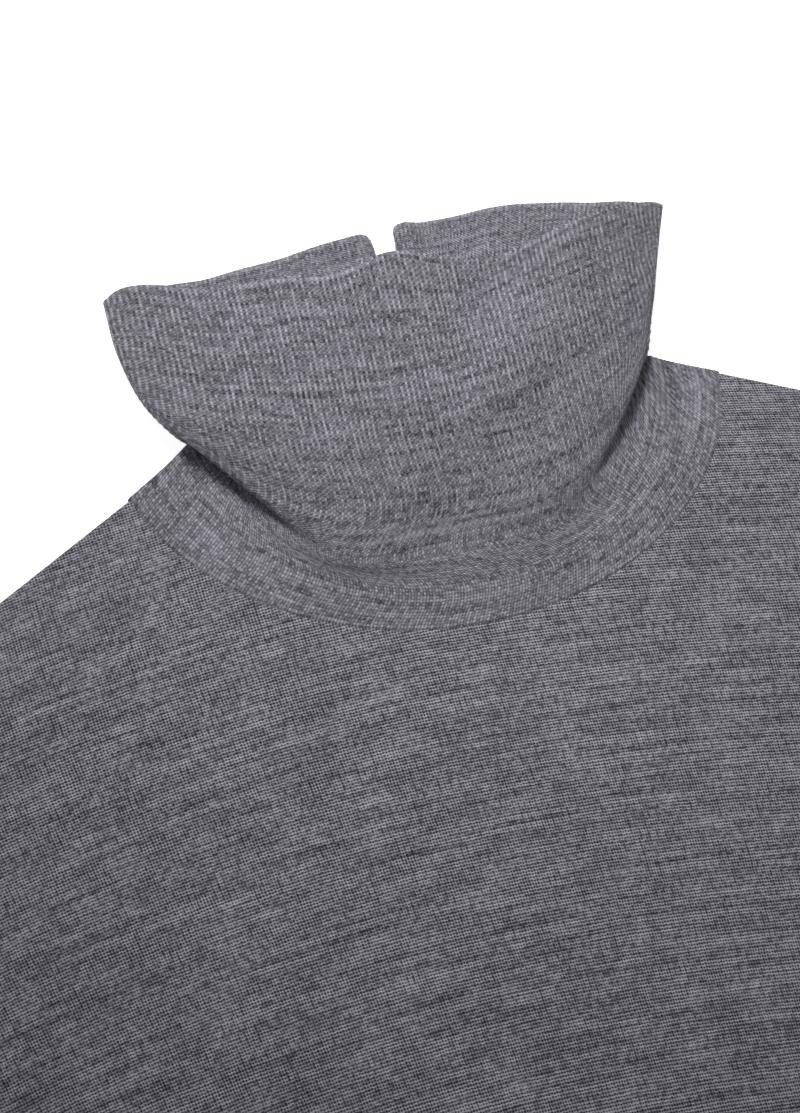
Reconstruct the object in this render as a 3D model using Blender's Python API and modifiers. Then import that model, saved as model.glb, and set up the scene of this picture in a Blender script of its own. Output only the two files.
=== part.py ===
"""Fine-knit turtleneck sweater, laid flat face up on a surface.

The back panel lies on the surface, the front panel lies on it, a flattened
sleeve lies at each side, and a tall ribbed collar stands partly open above the
neckline. The collar narrows at both sides, where its upper part folds out over
its base band, and it has a short slit at the centre back of its rim.

Sizes and tables are in millimetres, in the garment's own plan: x = 0 is the
centre line, y = 0 is the line through the two neck points, +y runs from the hem
to the collar and z = 0 is the surface. MM turns them into metres, and OFFSET_Y
moves the plan so that the whole garment is centred on the origin.
"""

import math
from collections import namedtuple

import bmesh
import bpy

MM = 0.001

# Cloth, and how its layers lie: heights are those of the middle of the wall
WALL = 1.2
SEAM_GAP = 0.3
FOLD_RADIUS = 1.1
FOLD_STEPS = 4
BACK_LEVEL = WALL / 2
FRONT_LEVEL = BACK_LEVEL + WALL + SEAM_GAP
TUBE_TOP_LEVEL = BACK_LEVEL + 2 * FOLD_RADIUS

# Body outline
NECK_HALF = 97.0
NECK_SHAPE = (2.1, 0.64)
FRONT_NECK_DEPTH = 77.5
BACK_NECK_DEPTH = 20.0
SHOULDER_HALF = 200.0
SHOULDER_SLOPE = math.radians(31.5)
SHOULDER_POINT = (SHOULDER_HALF, -(SHOULDER_HALF - NECK_HALF) * math.tan(SHOULDER_SLOPE))
UNDERARM_POINT = (245.0, -260.0)
ARMHOLE_HANDLES = ((190.0, -230.0), (187.0, -125.0))
HEM_POINT = (236.0, -620.0)
SIDE_HANDLES = ((227.0, -480.0), (231.0, -360.0))

# Loft of the half panels: rows between the named levels, and columns across
HEM_ROWS = 8
CHEST_ROWS = 5
YOKE_ROWS = 15
YOKE_ARMHOLE_SHARE = 0.62
UNDERARM_SAG = 12.0
PANEL_COLUMNS = 10
COLUMN_CROWDING = 1.25

# The front panel rises softly off the back panel, away from its edges
FRONT_PUFF = 2.4
PUFF_REACH = 45.0
NECK_POINT_LIFT = 4.0
ARMHOLE_LIFT = TUBE_TOP_LEVEL - FRONT_LEVEL

# Soft creases: the middle of a crest, its heading in degrees, reach and height
Crease = namedtuple("Crease", "x y heading half_length half_width height")
FRONT_CREASES = (
    Crease(180.0, -238.0, 128.0, 62.0, 20.0, 2.4),
    Crease(150.0, -296.0, 112.0, 80.0, 24.0, 1.8),
    Crease(-172.0, -246.0, 50.0, 70.0, 22.0, 2.2),
    Crease(-132.0, -330.0, 74.0, 95.0, 26.0, 1.6),
    Crease(60.0, -470.0, 96.0, 90.0, 30.0, 1.2),
)
# The same for a sleeve, with x along its axis and y across it
SLEEVE_CREASES = (
    Crease(150.0, -20.0, 35.0, 60.0, 17.0, 2.4),
    Crease(236.0, -34.0, 62.0, 48.0, 15.0, 2.0),
    Crease(330.0, 8.0, 78.0, 44.0, 15.0, 1.8),
    Crease(452.0, -10.0, 70.0, 36.0, 13.0, 1.5),
)

# Sleeve plan: how far each ring's top and under edge lie along and across its axis
SLEEVE_HEADING = math.radians(-51.0)
SLEEVE_PUFF = 2.0
SLEEVE_CAP_STATIONS = 3
SleeveStation = namedtuple("SleeveStation", "top_along top_across under_along under_across")
SLEEVE_STATIONS = (
    SleeveStation(0.0, 0.0, 180.0, -88.0),
    SleeveStation(46.0, 20.0, 197.0, -87.0),
    SleeveStation(98.0, 37.0, 221.0, -85.0),
    SleeveStation(160.0, 49.0, 256.0, -82.0),
    SleeveStation(230.0, 54.0, 301.0, -78.0),
    SleeveStation(310.0, 52.5, 361.0, -72.5),
    SleeveStation(390.0, 48.0, 426.0, -66.0),
    SleeveStation(465.0, 42.5, 488.0, -59.0),
    SleeveStation(530.0, 38.0, 543.0, -52.5),
    SleeveStation(590.0, 36.0, 592.0, -49.0),
)

# Collar rings from the neck seam to the rim: the left and right side folds, the
# height and place of the front and back middle, and the powers of the arches
# that the front half, the back's left half and the back's right half make in plan
CollarRing = namedtuple("CollarRing", "name left right front back front_arch back_left_arch back_right_arch")
COLLAR_RINGS = (
    CollarRing("seam", (-96.1, 0.3, 1.7), (96.1, 0.3, 1.7), (-77.1, 4.4), (-19.6, 0.6), (2.1, 0.64),
               (2.1, 0.64), (2.1, 0.64)),
    CollarRing("band", (-80.8, 11.8, 2.05), (80.8, 9.8, 2.05), (-64.5, 8.0), (-4.0, 0.7), (2.2, 0.68),
               (2.2, 0.6), (2.2, 0.6)),
    CollarRing("waist", (-64.5, 24.0, 4.4), (64.0, 21.5, 4.4), (-52.5, 11.6), (10.0, 0.8), (2.5, 0.85),
               (2.2, 0.5), (2.2, 0.5)),
    CollarRing("lip", (-73.6, 11.0, 8.4), (72.2, 6.0, 8.4), (-42.0, 14.6), (24.0, 0.9), (2.8, 0.95),
               (2.2, 0.5), (2.2, 0.5)),
    CollarRing("cheek", (-83.2, 28.5, 9.2), (82.6, 27.5, 9.2), (-14.0, 22.5), (44.0, 1.1), (2.3, 0.8),
               (2.2, 0.6), (2.6, 0.5)),
    CollarRing("upper", (-87.4, 53.0, 9.8), (91.6, 49.5, 9.8), (16.0, 30.5), (66.5, 1.7), (2.1, 0.95),
               (1.6, 0.75), (3.0, 0.5)),
    CollarRing("rim", (-87.0, 76.0, 10.4), (99.6, 68.2, 10.4), (47.4, 36.0), (89.5, 3.0), (2.0, 1.1),
               (1.2, 0.9), (3.2, 0.85)),
)
COLLAR_STEPS = (3, 4, 4, 4, 4, 5)
SIDE_FOLD_SHARPNESS = 8
FRONT_BULGE = 0.8
BACK_REST_SHARE = 0.6
COLLAR_FRONT_COLUMNS = 30
COLLAR_BACK_PLACES = (0.0, 0.012, 0.035, 0.08, 0.16, 0.26, 0.37, 0.48, 0.59, 0.70, 0.80, 0.89, 0.96, 1.0)

# The front rim dips on either side of its middle, fading out below the rim
RimDip = namedtuple("RimDip", "place half_width drop")
RIM_DIPS = (RimDip(-0.58, 0.14, 2.6), RimDip(-0.27, 0.13, 4.0), RimDip(0.24, 0.22, 6.6))
RIM_DIP_REACH = 45.0

# Slit at the centre back of the rim, with rounded corners
SLIT_DEPTH = 38.0
SLIT_TAPER = 0.75
SLIT_LEFT = 2.0
SLIT_RIGHT = 6.6
SLIT_PULL_SHARE = 0.45
SLIT_CORNER = 4.5
SLIT_CORNER_REACH = 14.0

RIM_TOP_Y = COLLAR_RINGS[-1].back[0]
OFFSET_Y = -(HEM_POINT[1] + RIM_TOP_Y) / 2

GREY_HEATHER = (0.165, 0.160, 0.185, 1.0)
KNIT_ROUGHNESS = 0.92
WELD = 0.00001


def lerp(a, b, share):
    return a + (b - a) * share


def lerp_point(p, q, share):
    return tuple(lerp(a, b, share) for a, b in zip(p, q))


def smooth(share):
    share = min(1.0, max(0.0, share))
    return share * share * (3.0 - 2.0 * share)


def arch(t, powers):
    """1 in the middle (t = 0), falling to 0 at both ends (t = -1 and 1)."""
    inner, outer = powers
    return max(0.0, 1.0 - abs(t) ** inner) ** outer


def bezier(p0, p1, p2, p3, share):
    rest = 1.0 - share
    weights = (rest ** 3, 3 * rest * rest * share, 3 * rest * share * share, share ** 3)
    return tuple(sum(w * p[axis] for w, p in zip(weights, (p0, p1, p2, p3))) for axis in (0, 1))


def crease_height(x, y, creases):
    """Height of a table of soft creases at one place of the plan."""
    height = 0.0
    for crease in creases:
        angle = math.radians(crease.heading)
        dx, dy = x - crease.x, y - crease.y
        along = (dx * math.cos(angle) + dy * math.sin(angle)) / crease.half_length
        across = (dy * math.cos(angle) - dx * math.sin(angle)) / crease.half_width
        height += crease.height * math.exp(-along * along - across * across)
    return height


# ---- objects from grids of points -------------------------------------------

def knit_material(name):
    material = bpy.data.materials.new(name + "_knit")
    material.use_nodes = True
    shader = material.node_tree.nodes["Principled BSDF"]
    shader.inputs["Base Color"].default_value = GREY_HEATHER
    shader.inputs["Roughness"].default_value = KNIT_ROUGHNESS
    shader.inputs["Metallic"].default_value = 0.0
    return material


def cloth_wall(name, grids, collection):
    """One object: each grid's points become a sheet, meeting points are welded, and the wall is even."""
    sheet = bmesh.new()
    for grid in grids:
        rows = [[sheet.verts.new((x * MM, (y + OFFSET_Y) * MM, z * MM)) for x, y, z in row] for row in grid]
        for low, high in zip(rows, rows[1:]):
            for i in range(len(low) - 1):
                sheet.faces.new((low[i], low[i + 1], high[i + 1], high[i]))
    bmesh.ops.remove_doubles(sheet, verts=sheet.verts, dist=WELD)
    bmesh.ops.recalc_face_normals(sheet, faces=sheet.faces)
    mesh = bpy.data.meshes.new(name)
    sheet.to_mesh(mesh)
    sheet.free()
    mesh.shade_smooth()
    mesh.materials.append(knit_material(name))
    piece = bpy.data.objects.new(name, mesh)
    collection.objects.link(piece)
    wall = piece.modifiers.new("wall", "SOLIDIFY")
    wall.thickness = WALL * MM
    wall.offset = 0.0
    wall.use_even_offset = False
    piece.modifiers.new("flat_shading_of_wide_faces", "WEIGHTED_NORMAL")


# ---- body panels --------------------------------------------------------------

def neckline(t, depth):
    """Point of a neckline, from the centre (t = 0) to the neck point (t = 1)."""
    return NECK_HALF * t, -depth * arch(t, NECK_SHAPE)


def armhole(share):
    """Point of the armhole, from the underarm (0) to the shoulder point (1)."""
    return bezier(UNDERARM_POINT, *ARMHOLE_HANDLES, SHOULDER_POINT, share)


def armhole_shares():
    """Where the panels' rows, and the sleeves' columns, meet the armhole."""
    chest = [YOKE_ARMHOLE_SHARE * i / CHEST_ROWS for i in range(CHEST_ROWS)]
    return chest + [lerp(YOKE_ARMHOLE_SHARE, 1.0, i / YOKE_ROWS) for i in range(YOKE_ROWS + 1)]


def panel_rows(neck_depth):
    """Inner and outer end of each row of the half panel, from the hem to the shoulder seam."""
    underarm_y = UNDERARM_POINT[1] + UNDERARM_SAG
    rows = []
    for i in range(HEM_ROWS):
        share = i / HEM_ROWS
        outer = bezier(HEM_POINT, *SIDE_HANDLES, UNDERARM_POINT, share)
        rows.append(((0.0, lerp(HEM_POINT[1], underarm_y, share)), outer))
    inner_ends = [(0.0, lerp(underarm_y, -neck_depth, i / CHEST_ROWS)) for i in range(CHEST_ROWS)]
    inner_ends += [neckline(math.sin(math.pi / 2 * i / YOKE_ROWS), neck_depth) for i in range(YOKE_ROWS + 1)]
    return rows + [(inner, armhole(share)) for inner, share in zip(inner_ends, armhole_shares())]


def armhole_nearness(row):
    """0 along the side seam and at the shoulder point, 1 along the armhole between them."""
    share = (row - HEM_ROWS) / (CHEST_ROWS + YOKE_ROWS)
    return smooth(3.0 * share) * smooth(6.0 * (1.0 - share))


def back_height(x, y, edge_distance, row):
    return BACK_LEVEL


def front_height(x, y, edge_distance, row):
    """Low along the edges of the front panel, softly raised and creased inside them."""
    shoulder_line = -(abs(x) - NECK_HALF) * math.tan(SHOULDER_SLOPE)
    shoulder_distance = (shoulder_line - y) * math.cos(SHOULDER_SLOPE)
    side = smooth(edge_distance / PUFF_REACH)
    hem = smooth((y - HEM_POINT[1]) / PUFF_REACH)
    shoulder = smooth((shoulder_distance + NECK_POINT_LIFT) / PUFF_REACH)
    inside = side * hem * shoulder * (FRONT_PUFF + crease_height(x, y, FRONT_CREASES))
    return FRONT_LEVEL + inside + ARMHOLE_LIFT * armhole_nearness(row) * (1.0 - side)


def build_panel(name, neck_depth, height, collection):
    grids = []
    for side in (1, -1):
        grid = []
        for row, (inner, outer) in enumerate(panel_rows(neck_depth)):
            points = []
            for column in range(PANEL_COLUMNS + 1):
                share = 1.0 - (1.0 - column / PANEL_COLUMNS) ** COLUMN_CROWDING
                x, y = lerp_point(inner, outer, share)
                edge_distance = math.dist((x, y), outer)
                points.append((side * x, y, height(side * x, y, edge_distance, row)))
            grid.append(points)
        grids.append(grid)
    cloth_wall(name, grids, collection)


# ---- sleeves --------------------------------------------------------------------

def sleeve_axes_point(station, share):
    """Place along and across the sleeve's axis, share 0 at its top edge and 1 at its under edge."""
    ends = SLEEVE_STATIONS[station]
    along = lerp(ends.top_along, ends.under_along, share)
    across = lerp(ends.top_across, ends.under_across, share)
    return along, across


def sleeve_plan_point(station, share):
    """Plan point of the sleeve on the +x side. Its first rings follow the armhole's curve."""
    along, across = sleeve_axes_point(station, share)
    x = SHOULDER_POINT[0] + along * math.cos(SLEEVE_HEADING) - across * math.sin(SLEEVE_HEADING)
    y = SHOULDER_POINT[1] + along * math.sin(SLEEVE_HEADING) + across * math.cos(SLEEVE_HEADING)
    bow = max(0.0, 1.0 - station / SLEEVE_CAP_STATIONS) ** 1.4
    curve = armhole(1.0 - share)
    chord = lerp_point(SHOULDER_POINT, UNDERARM_POINT, share)
    x += bow * (curve[0] - chord[0])
    y += bow * (curve[1] - chord[1])
    if station == 0:
        before = armhole(1.0 - max(0.0, share - 0.01))
        after = armhole(1.0 - min(1.0, share + 0.01))
        fold_room = 0.8 * WALL * abs(2.0 * share - 1.0) ** SIDE_FOLD_SHARPNESS
        reach = (SEAM_GAP + fold_room) / math.dist(before, after)
        x += reach * (before[1] - after[1])
        y += reach * (after[0] - before[0])
    return x, y


def sleeve_fold(station, share, direction):
    """The half circle that joins a sleeve's two layers at one edge."""
    x, y = sleeve_plan_point(station, share)
    inner_x, inner_y = sleeve_plan_point(station, share - 0.05 * direction)
    length = math.dist((x, y), (inner_x, inner_y))
    points = []
    for i in range(1, FOLD_STEPS):
        angle = math.pi * i / FOLD_STEPS
        reach = FOLD_RADIUS * math.sin(angle) / length
        z = BACK_LEVEL + FOLD_RADIUS + FOLD_RADIUS * math.cos(angle) * direction
        points.append((x + (x - inner_x) * reach, y + (y - inner_y) * reach, z))
    return points


def build_sleeve(name, side, collection):
    """A tube pressed flat: rings from the armhole to the cuff, with tight folds at both edges."""
    grid = []
    for station, ends in enumerate(SLEEVE_STATIONS):
        width = math.dist(ends[:2], ends[2:])
        fold_share = (WALL / 2 + FOLD_RADIUS) / width
        shares = [1.0 - share for share in reversed(armhole_shares()[1:-1])]
        shares = [fold_share] + shares + [1.0 - fold_share]
        ring = []
        for share in shares:
            inside = smooth(2.4 * min(share, 1.0 - share)) * smooth(0.25 + station / SLEEVE_CAP_STATIONS)
            creases = crease_height(*sleeve_axes_point(station, share), SLEEVE_CREASES)
            ring.append((*sleeve_plan_point(station, share), TUBE_TOP_LEVEL + inside * (SLEEVE_PUFF + creases)))
        ring += sleeve_fold(station, shares[-1], 1)
        ring += [(*sleeve_plan_point(station, share), BACK_LEVEL) for share in reversed(shares)]
        ring += sleeve_fold(station, shares[0], -1)
        ring.append(ring[0])
        grid.append([(side * x, y, z) for x, y, z in ring])
    cloth_wall(name, [grid], collection)


# ---- collar ---------------------------------------------------------------------

def side_fold(side, x, direction):
    """The half circle at one side of a collar ring, from its front layer to its back layer or back."""
    points = []
    for i in range(1, FOLD_STEPS):
        angle = math.pi * i / FOLD_STEPS
        reach = FOLD_RADIUS * math.sin(angle) * direction
        points.append((x + reach, side[1], side[2] + FOLD_RADIUS * math.cos(angle) * direction))
    return points


def collar_places():
    """Places across the collar's front layer, and across one half of its back layer."""
    front = [-math.cos(math.pi * i / COLLAR_FRONT_COLUMNS) for i in range(COLLAR_FRONT_COLUMNS + 1)]
    return front, COLLAR_BACK_PLACES


def collar_ring(ring):
    """Ring from the centre back, round the left fold, the front and the right fold, to the centre back."""
    centre_x = (ring.left[0] + ring.right[0]) / 2
    half = (ring.right[0] - ring.left[0]) / 2
    middle = lerp_point(ring.left, ring.right, 0.5)
    front_places, back_places = collar_places()

    def plan_x(t):
        return centre_x + half * t - FOLD_RADIUS * math.copysign(abs(t) ** SIDE_FOLD_SHARPNESS, t)

    def front_point(t):
        side = lerp_point(ring.left, ring.right, (t + 1.0) / 2.0)
        y = side[1] + (ring.front[0] - middle[1]) * arch(t, ring.front_arch)
        rise = ring.front[1] - middle[2] - FOLD_RADIUS
        return plan_x(t), y, side[2] + FOLD_RADIUS + rise * (1.0 - t * t) ** FRONT_BULGE

    def back_point(t, powers):
        side = lerp_point(ring.left, ring.right, (t + 1.0) / 2.0)
        y = side[1] + (ring.back[0] - middle[1]) * arch(t, powers)
        rest = smooth((1.0 - abs(t)) / BACK_REST_SHARE)
        return plan_x(t), y, lerp(side[2] - FOLD_RADIUS, ring.back[1], rest)

    points = [back_point(-place, ring.back_left_arch) for place in back_places]
    points += side_fold(ring.left, plan_x(-1.0), -1)
    points += [front_point(t) for t in front_places]
    points += side_fold(ring.right, plan_x(1.0), 1)
    return points + [back_point(place, ring.back_right_arch) for place in reversed(back_places)]


def spline(p0, p1, p2, p3, share):
    """Centripetal Catmull-Rom between p1 and p2."""
    times = [0.0]
    for a, b in ((p0, p1), (p1, p2), (p2, p3)):
        times.append(times[-1] + math.sqrt(max(math.dist(a, b), 1e-6)))
    now = lerp(times[1], times[2], share)

    def between(a, b, start, end):
        return lerp_point(a, b, (now - times[start]) / (times[end] - times[start]))

    a1, a2, a3 = between(p0, p1, 0, 1), between(p1, p2, 1, 2), between(p2, p3, 2, 3)
    return between(between(a1, a2, 0, 2), between(a2, a3, 1, 3), 1, 2)


def beyond(ring, neighbour):
    """A ring past the end of the collar, so that its last stretch runs straight."""
    return [lerp_point(p, q, -1.0) for p, q in zip(ring, neighbour)]


def collar_rows():
    """Rows of points from the neck seam to the rim, smooth through the named rings."""
    rings = [collar_ring(ring) for ring in COLLAR_RINGS]
    rings = [beyond(rings[0], rings[1])] + rings + [beyond(rings[-1], rings[-2])]
    rows = []
    for index, steps in enumerate(COLLAR_STEPS):
        for step in range(steps):
            rows.append([spline(*column, step / steps) for column in zip(*rings[index:index + 4])])
    return rows + [rings[-2]]


def dip_front_rim(rows):
    front_places, back_places = collar_places()
    first = len(back_places) + FOLD_STEPS - 1
    rim = rows[-1]
    for row in rows:
        for column, t in enumerate(front_places, first):
            x, y, z = row[column]
            drop = sum(dip.drop * math.exp(-((t - dip.place) / dip.half_width) ** 2) for dip in RIM_DIPS)
            nearness = smooth(1.0 - math.dist(row[column], rim[column]) / RIM_DIP_REACH)
            row[column] = (x, y - drop * nearness * (1.0 - t * t), z)


def open_slit(rows):
    """Parts the first and last columns near the rim, and rounds the slit's corners."""
    back_places = collar_places()[1]
    rim = rows[-1]
    for columns, opening in ((range(len(back_places)), -SLIT_LEFT), (range(-1, -len(back_places) - 1, -1), SLIT_RIGHT)):
        middle_y = rim[columns[0]][1]
        for row in rows:
            depth = middle_y - row[columns[0]][1]
            width = opening * max(0.0, 1.0 - depth / SLIT_DEPTH) ** SLIT_TAPER
            start = row[columns[0]][0]
            for column, place in zip(columns, back_places):
                x, y, z = row[column]
                inset = max(0.0, SLIT_CORNER - abs(x - start))
                corner = SLIT_CORNER - math.sqrt(SLIT_CORNER ** 2 - inset ** 2)
                nearness = smooth(1.0 - depth / SLIT_CORNER_REACH)
                pull = width * smooth(1.0 - place / SLIT_PULL_SHARE)
                row[column] = (x + pull, y - corner * nearness, z)


def build_collar(name, collection):
    rows = collar_rows()
    dip_front_rim(rows)
    open_slit(rows)
    cloth_wall(name, [rows], collection)


# ---- the garment ------------------------------------------------------------------

def clear_scene():
    for item in list(bpy.data.objects):
        bpy.data.objects.remove(item, do_unlink=True)


def main():
    clear_scene()
    sweater = bpy.data.collections.new("turtleneck_sweater")
    bpy.context.scene.collection.children.link(sweater)
    build_panel("back", BACK_NECK_DEPTH, back_height, sweater)
    build_panel("front", FRONT_NECK_DEPTH, front_height, sweater)
    build_sleeve("sleeve_left", 1, sweater)
    build_sleeve("sleeve_right", -1, sweater)
    build_collar("collar", sweater)


main()
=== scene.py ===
"""Looks of the fine-knit turtleneck sweater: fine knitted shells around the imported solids.

Lengths in the tables are millimetres in the garment's own plan, as in the solids'
source: x = 0 is the centre line, y = 0 is the line through the two neck points, +y
runs from the hem to the collar and z = 0 is the surface. MM turns them into metres,
and PLAN_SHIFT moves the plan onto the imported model. Left and right are as seen from
above, with the hem nearest; only the names of the sleeves go by the wearer.
"""
import math
from collections import namedtuple

import bpy
import numpy as np
from mathutils import Matrix, Vector


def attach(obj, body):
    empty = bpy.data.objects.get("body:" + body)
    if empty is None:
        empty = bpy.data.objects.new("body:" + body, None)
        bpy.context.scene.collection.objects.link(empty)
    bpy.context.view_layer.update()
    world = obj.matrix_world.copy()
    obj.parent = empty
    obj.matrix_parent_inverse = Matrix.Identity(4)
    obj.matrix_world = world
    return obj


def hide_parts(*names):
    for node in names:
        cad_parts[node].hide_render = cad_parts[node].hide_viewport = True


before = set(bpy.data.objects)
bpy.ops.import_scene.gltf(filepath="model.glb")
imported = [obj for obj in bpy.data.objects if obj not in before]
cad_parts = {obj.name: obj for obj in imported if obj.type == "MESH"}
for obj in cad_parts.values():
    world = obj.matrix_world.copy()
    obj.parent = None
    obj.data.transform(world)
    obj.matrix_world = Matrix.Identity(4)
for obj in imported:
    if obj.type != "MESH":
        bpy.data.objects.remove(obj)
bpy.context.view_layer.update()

MM = 0.001

# ---- sizes shared with the solids ---------------------------------------------------------
WALL = 1.2
SEAM_GAP = 0.3
FOLD_RADIUS = 1.1
BACK_LEVEL = WALL / 2
FRONT_LEVEL = BACK_LEVEL + WALL + SEAM_GAP
TUBE_TOP_LEVEL = BACK_LEVEL + 2 * FOLD_RADIUS

NECK_HALF = 97.0
NECK_SHAPE = (2.1, 0.64)
NECK_POINT_INSET = 1.1
FRONT_NECK_DEPTH = 77.5
BACK_NECK_DEPTH = 20.0
SHOULDER_HALF = 200.0
SHOULDER_SLOPE = math.radians(31.5)
SHOULDER_POINT = (SHOULDER_HALF, -(SHOULDER_HALF - NECK_HALF) * math.tan(SHOULDER_SLOPE))
UNDERARM_POINT = (245.0, -260.0)
ARMHOLE_HANDLES = ((190.0, -230.0), (187.0, -125.0))
HEM_POINT = (236.0, -620.0)
SIDE_HANDLES = ((227.0, -480.0), (231.0, -360.0))
YOKE_ARMHOLE_SHARE = 0.62
UNDERARM_SAG = 12.0

FRONT_PUFF = 2.4
PUFF_REACH = 45.0
NECK_POINT_LIFT = 4.0
# The front rises to the sleeve's top along the armhole, from soon above the underarm to the shoulder
ARMHOLE_LIFT = TUBE_TOP_LEVEL - FRONT_LEVEL
ARMHOLE_LIFT_START, ARMHOLE_LIFT_END = 3.0, 6.0

SLEEVE_HEADING = math.radians(-51.0)
SLEEVE_PUFF = 2.0
SLEEVE_EDGE_PUFF, SLEEVE_CAP_PUFF = 2.4, 0.25
SLEEVE_CAP_STATIONS = 3
SLEEVE_CAP_FADE = 1.4
SLEEVE_FOLD_ROOM = -0.5
SleeveStation = namedtuple("SleeveStation", "top_along top_across under_along under_across")
SLEEVE_STATIONS = (
    SleeveStation(0.0, 0.0, 180.0, -88.0),
    SleeveStation(46.0, 20.0, 197.0, -87.0),
    SleeveStation(98.0, 37.0, 221.0, -85.0),
    SleeveStation(160.0, 49.0, 256.0, -82.0),
    SleeveStation(230.0, 54.0, 301.0, -78.0),
    SleeveStation(310.0, 52.5, 361.0, -72.5),
    SleeveStation(390.0, 48.0, 426.0, -66.0),
    SleeveStation(465.0, 42.5, 488.0, -59.0),
    SleeveStation(530.0, 38.0, 543.0, -52.5),
    SleeveStation(590.0, 36.0, 592.0, -49.0),
)

# Rings of the collar, from its seam to its rim: x, y, z of the left and right fold, y, z of the
# front and back in the middle, and the powers of the arch in each quarter
CollarRing = namedtuple("CollarRing", "name left right front back "
                                      "front_left_arch front_right_arch back_left_arch back_right_arch")
COLLAR_RINGS = (
    CollarRing("seam", (-96.7, 0.3, 1.7), (96.7, 0.3, 1.7), (-77.1, 4.4), (-19.6, 0.6),
               (2.1, 0.64), (2.1, 0.64), (2.1, 0.64), (2.1, 0.64)),
    CollarRing("band", (-79.7, 12.0, 2.05), (80.8, 9.8, 2.05), (-64.5, 8.0), (-4.0, 0.7),
               (2.2, 0.68), (2.2, 0.68), (2.2, 0.6), (2.2, 0.6)),
    CollarRing("waist", (-63.3, 24.5, 4.4), (64.0, 21.5, 4.4), (-52.5, 11.8), (10.0, 0.8),
               (5.4, 0.74), (3.3, 0.74), (2.2, 0.5), (2.2, 0.5)),
    CollarRing("lip", (-73.6, 12.8, 8.4), (71.8, 6.0, 8.4), (-38.0, 15.4), (24.0, 0.9),
               (3.4, 0.86), (3.2, 1.0), (2.2, 0.5), (2.2, 0.5)),
    CollarRing("cheek", (-83.2, 28.5, 9.2), (82.6, 27.5, 9.2), (-14.0, 22.5), (44.0, 1.1),
               (2.3, 0.8), (2.3, 0.8), (2.2, 0.6), (2.6, 0.5)),
    CollarRing("upper", (-87.4, 53.0, 9.8), (91.6, 49.5, 9.8), (16.0, 30.5), (66.5, 1.7),
               (2.1, 0.95), (2.1, 0.95), (1.6, 0.75), (3.0, 0.5)),
    CollarRing("rim", (-87.0, 76.0, 10.4), (99.6, 68.2, 10.4), (47.4, 36.0), (89.5, 3.0),
               (2.0, 1.1), (2.0, 1.1), (1.2, 0.9), (3.2, 0.85)),
)
SIDE_FOLD_SHARPNESS = 8
FRONT_BULGE = 0.8
BACK_REST_SHARE = 0.6
# Soft waves of the rim, up and out of the garment: place across it, half width, rise, and how far
# the wave leans to the left for each mm below the rim
RimWave = namedtuple("RimWave", "place half_width rise lean")
FRONT_RIM_WAVES = (
    RimWave(-1.06, 0.19, 5.4, 0.0),
    RimWave(-0.57, 0.26, -2.6, 0.0),
    RimWave(-0.27, 0.10, -2.3, 0.0),
    RimWave(-0.03, 0.11, 2.2, 0.006),
    RimWave(0.29, 0.28, -5.9, 0.010),
)
BACK_RIM_WAVES = (
    RimWave(-0.64, 0.09, -0.8, 0.0),
    RimWave(-0.34, 0.09, -0.5, 0.0),
    RimWave(0.05, 0.04, 1.0, 0.0),
    RimWave(0.47, 0.15, 1.9, 0.0),
    RimWave(0.79, 0.09, -0.9, 0.0),
)
RIM_WAVE_REACH = 48.0
UP_AND_OUT = math.sqrt(0.5)
SLIT_DEPTH = 38.0
SLIT_TAPER = 0.5
SLIT_MIDDLE_X = 8.7
SLIT_HALF = 4.1
SLIT_PULL_SHARE = 0.45
SLIT_LEFT_CORNER, SLIT_RIGHT_CORNER = 4.0, 2.6
SLIT_CORNER_REACH = 14.0

RIM_TOP_Y = COLLAR_RINGS[-1].back[0]
PLAN_SHIFT = -(HEM_POINT[1] + RIM_TOP_Y) / 2

# ---- how finely the shells are sampled ----------------------------------------------------
HEM_ROWS = 84
CHEST_ROWS = 38
YOKE_ROWS = 60
PANEL_COLUMNS = 56
COLUMN_CROWDING = 1.12
SLEEVE_ROWS = 120
SLEEVE_COLUMNS = 46
SLEEVE_EVENNESS = 0.6
SLEEVE_FOLD_POINTS = 5
TANGENT_STEP = 0.01
COLLAR_STEPS = (15, 13, 9, 8, 8, 9)
COLLAR_MASTER_HALF = 400
COLLAR_FOLD_POINTS = 7
SAMPLES_PER_RIB = 3
WELD_STEPS = 100.0
# The wall's free edges: how far a rim or a seam rounds out, how much of that lies inside the
# edge, and how far a seam reaches into its gap
RIM_ROUNDING, SEAM_ROUNDING = 0.5, 0.16
RIM_SETBACK = 0.6
SEAM_REACH = 0.18
RIM_POINTS = 3

# ---- soft creases: middle of a crest or trough, heading in degrees, reach, height ---------
Crease = namedtuple("Crease", "x y heading half_length half_width height")
FRONT_CREASES = (
    Crease(180.0, -238.0, 128.0, 62.0, 20.0, 2.4),
    Crease(150.0, -296.0, 112.0, 80.0, 24.0, 1.8),
    Crease(-172.0, -246.0, 50.0, 70.0, 22.0, 2.2),
    Crease(-132.0, -330.0, 74.0, 95.0, 26.0, 1.6),
    Crease(60.0, -470.0, 96.0, 90.0, 30.0, 1.2),
)
COLLAR_CREASES = (
    Crease(36.0, 4.0, 40.0, 24.0, 9.0, 3.0),
    Crease(30.0, -12.0, 40.0, 22.0, 6.0, -1.6),
    Crease(24.0, 27.0, 52.0, 28.0, 7.5, -2.6),
    Crease(4.0, 32.0, 103.0, 16.0, 6.0, 1.4),
    Crease(-62.0, 12.0, -40.0, 24.0, 9.0, 2.2),
    Crease(-42.0, 24.0, 20.0, 26.0, 9.0, 1.0),
    Crease(-22.0, 4.0, 8.0, 30.0, 6.0, -1.0),
    Crease(-70.0, 56.0, 4.0, 24.0, 7.0, -2.6),
)
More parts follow.
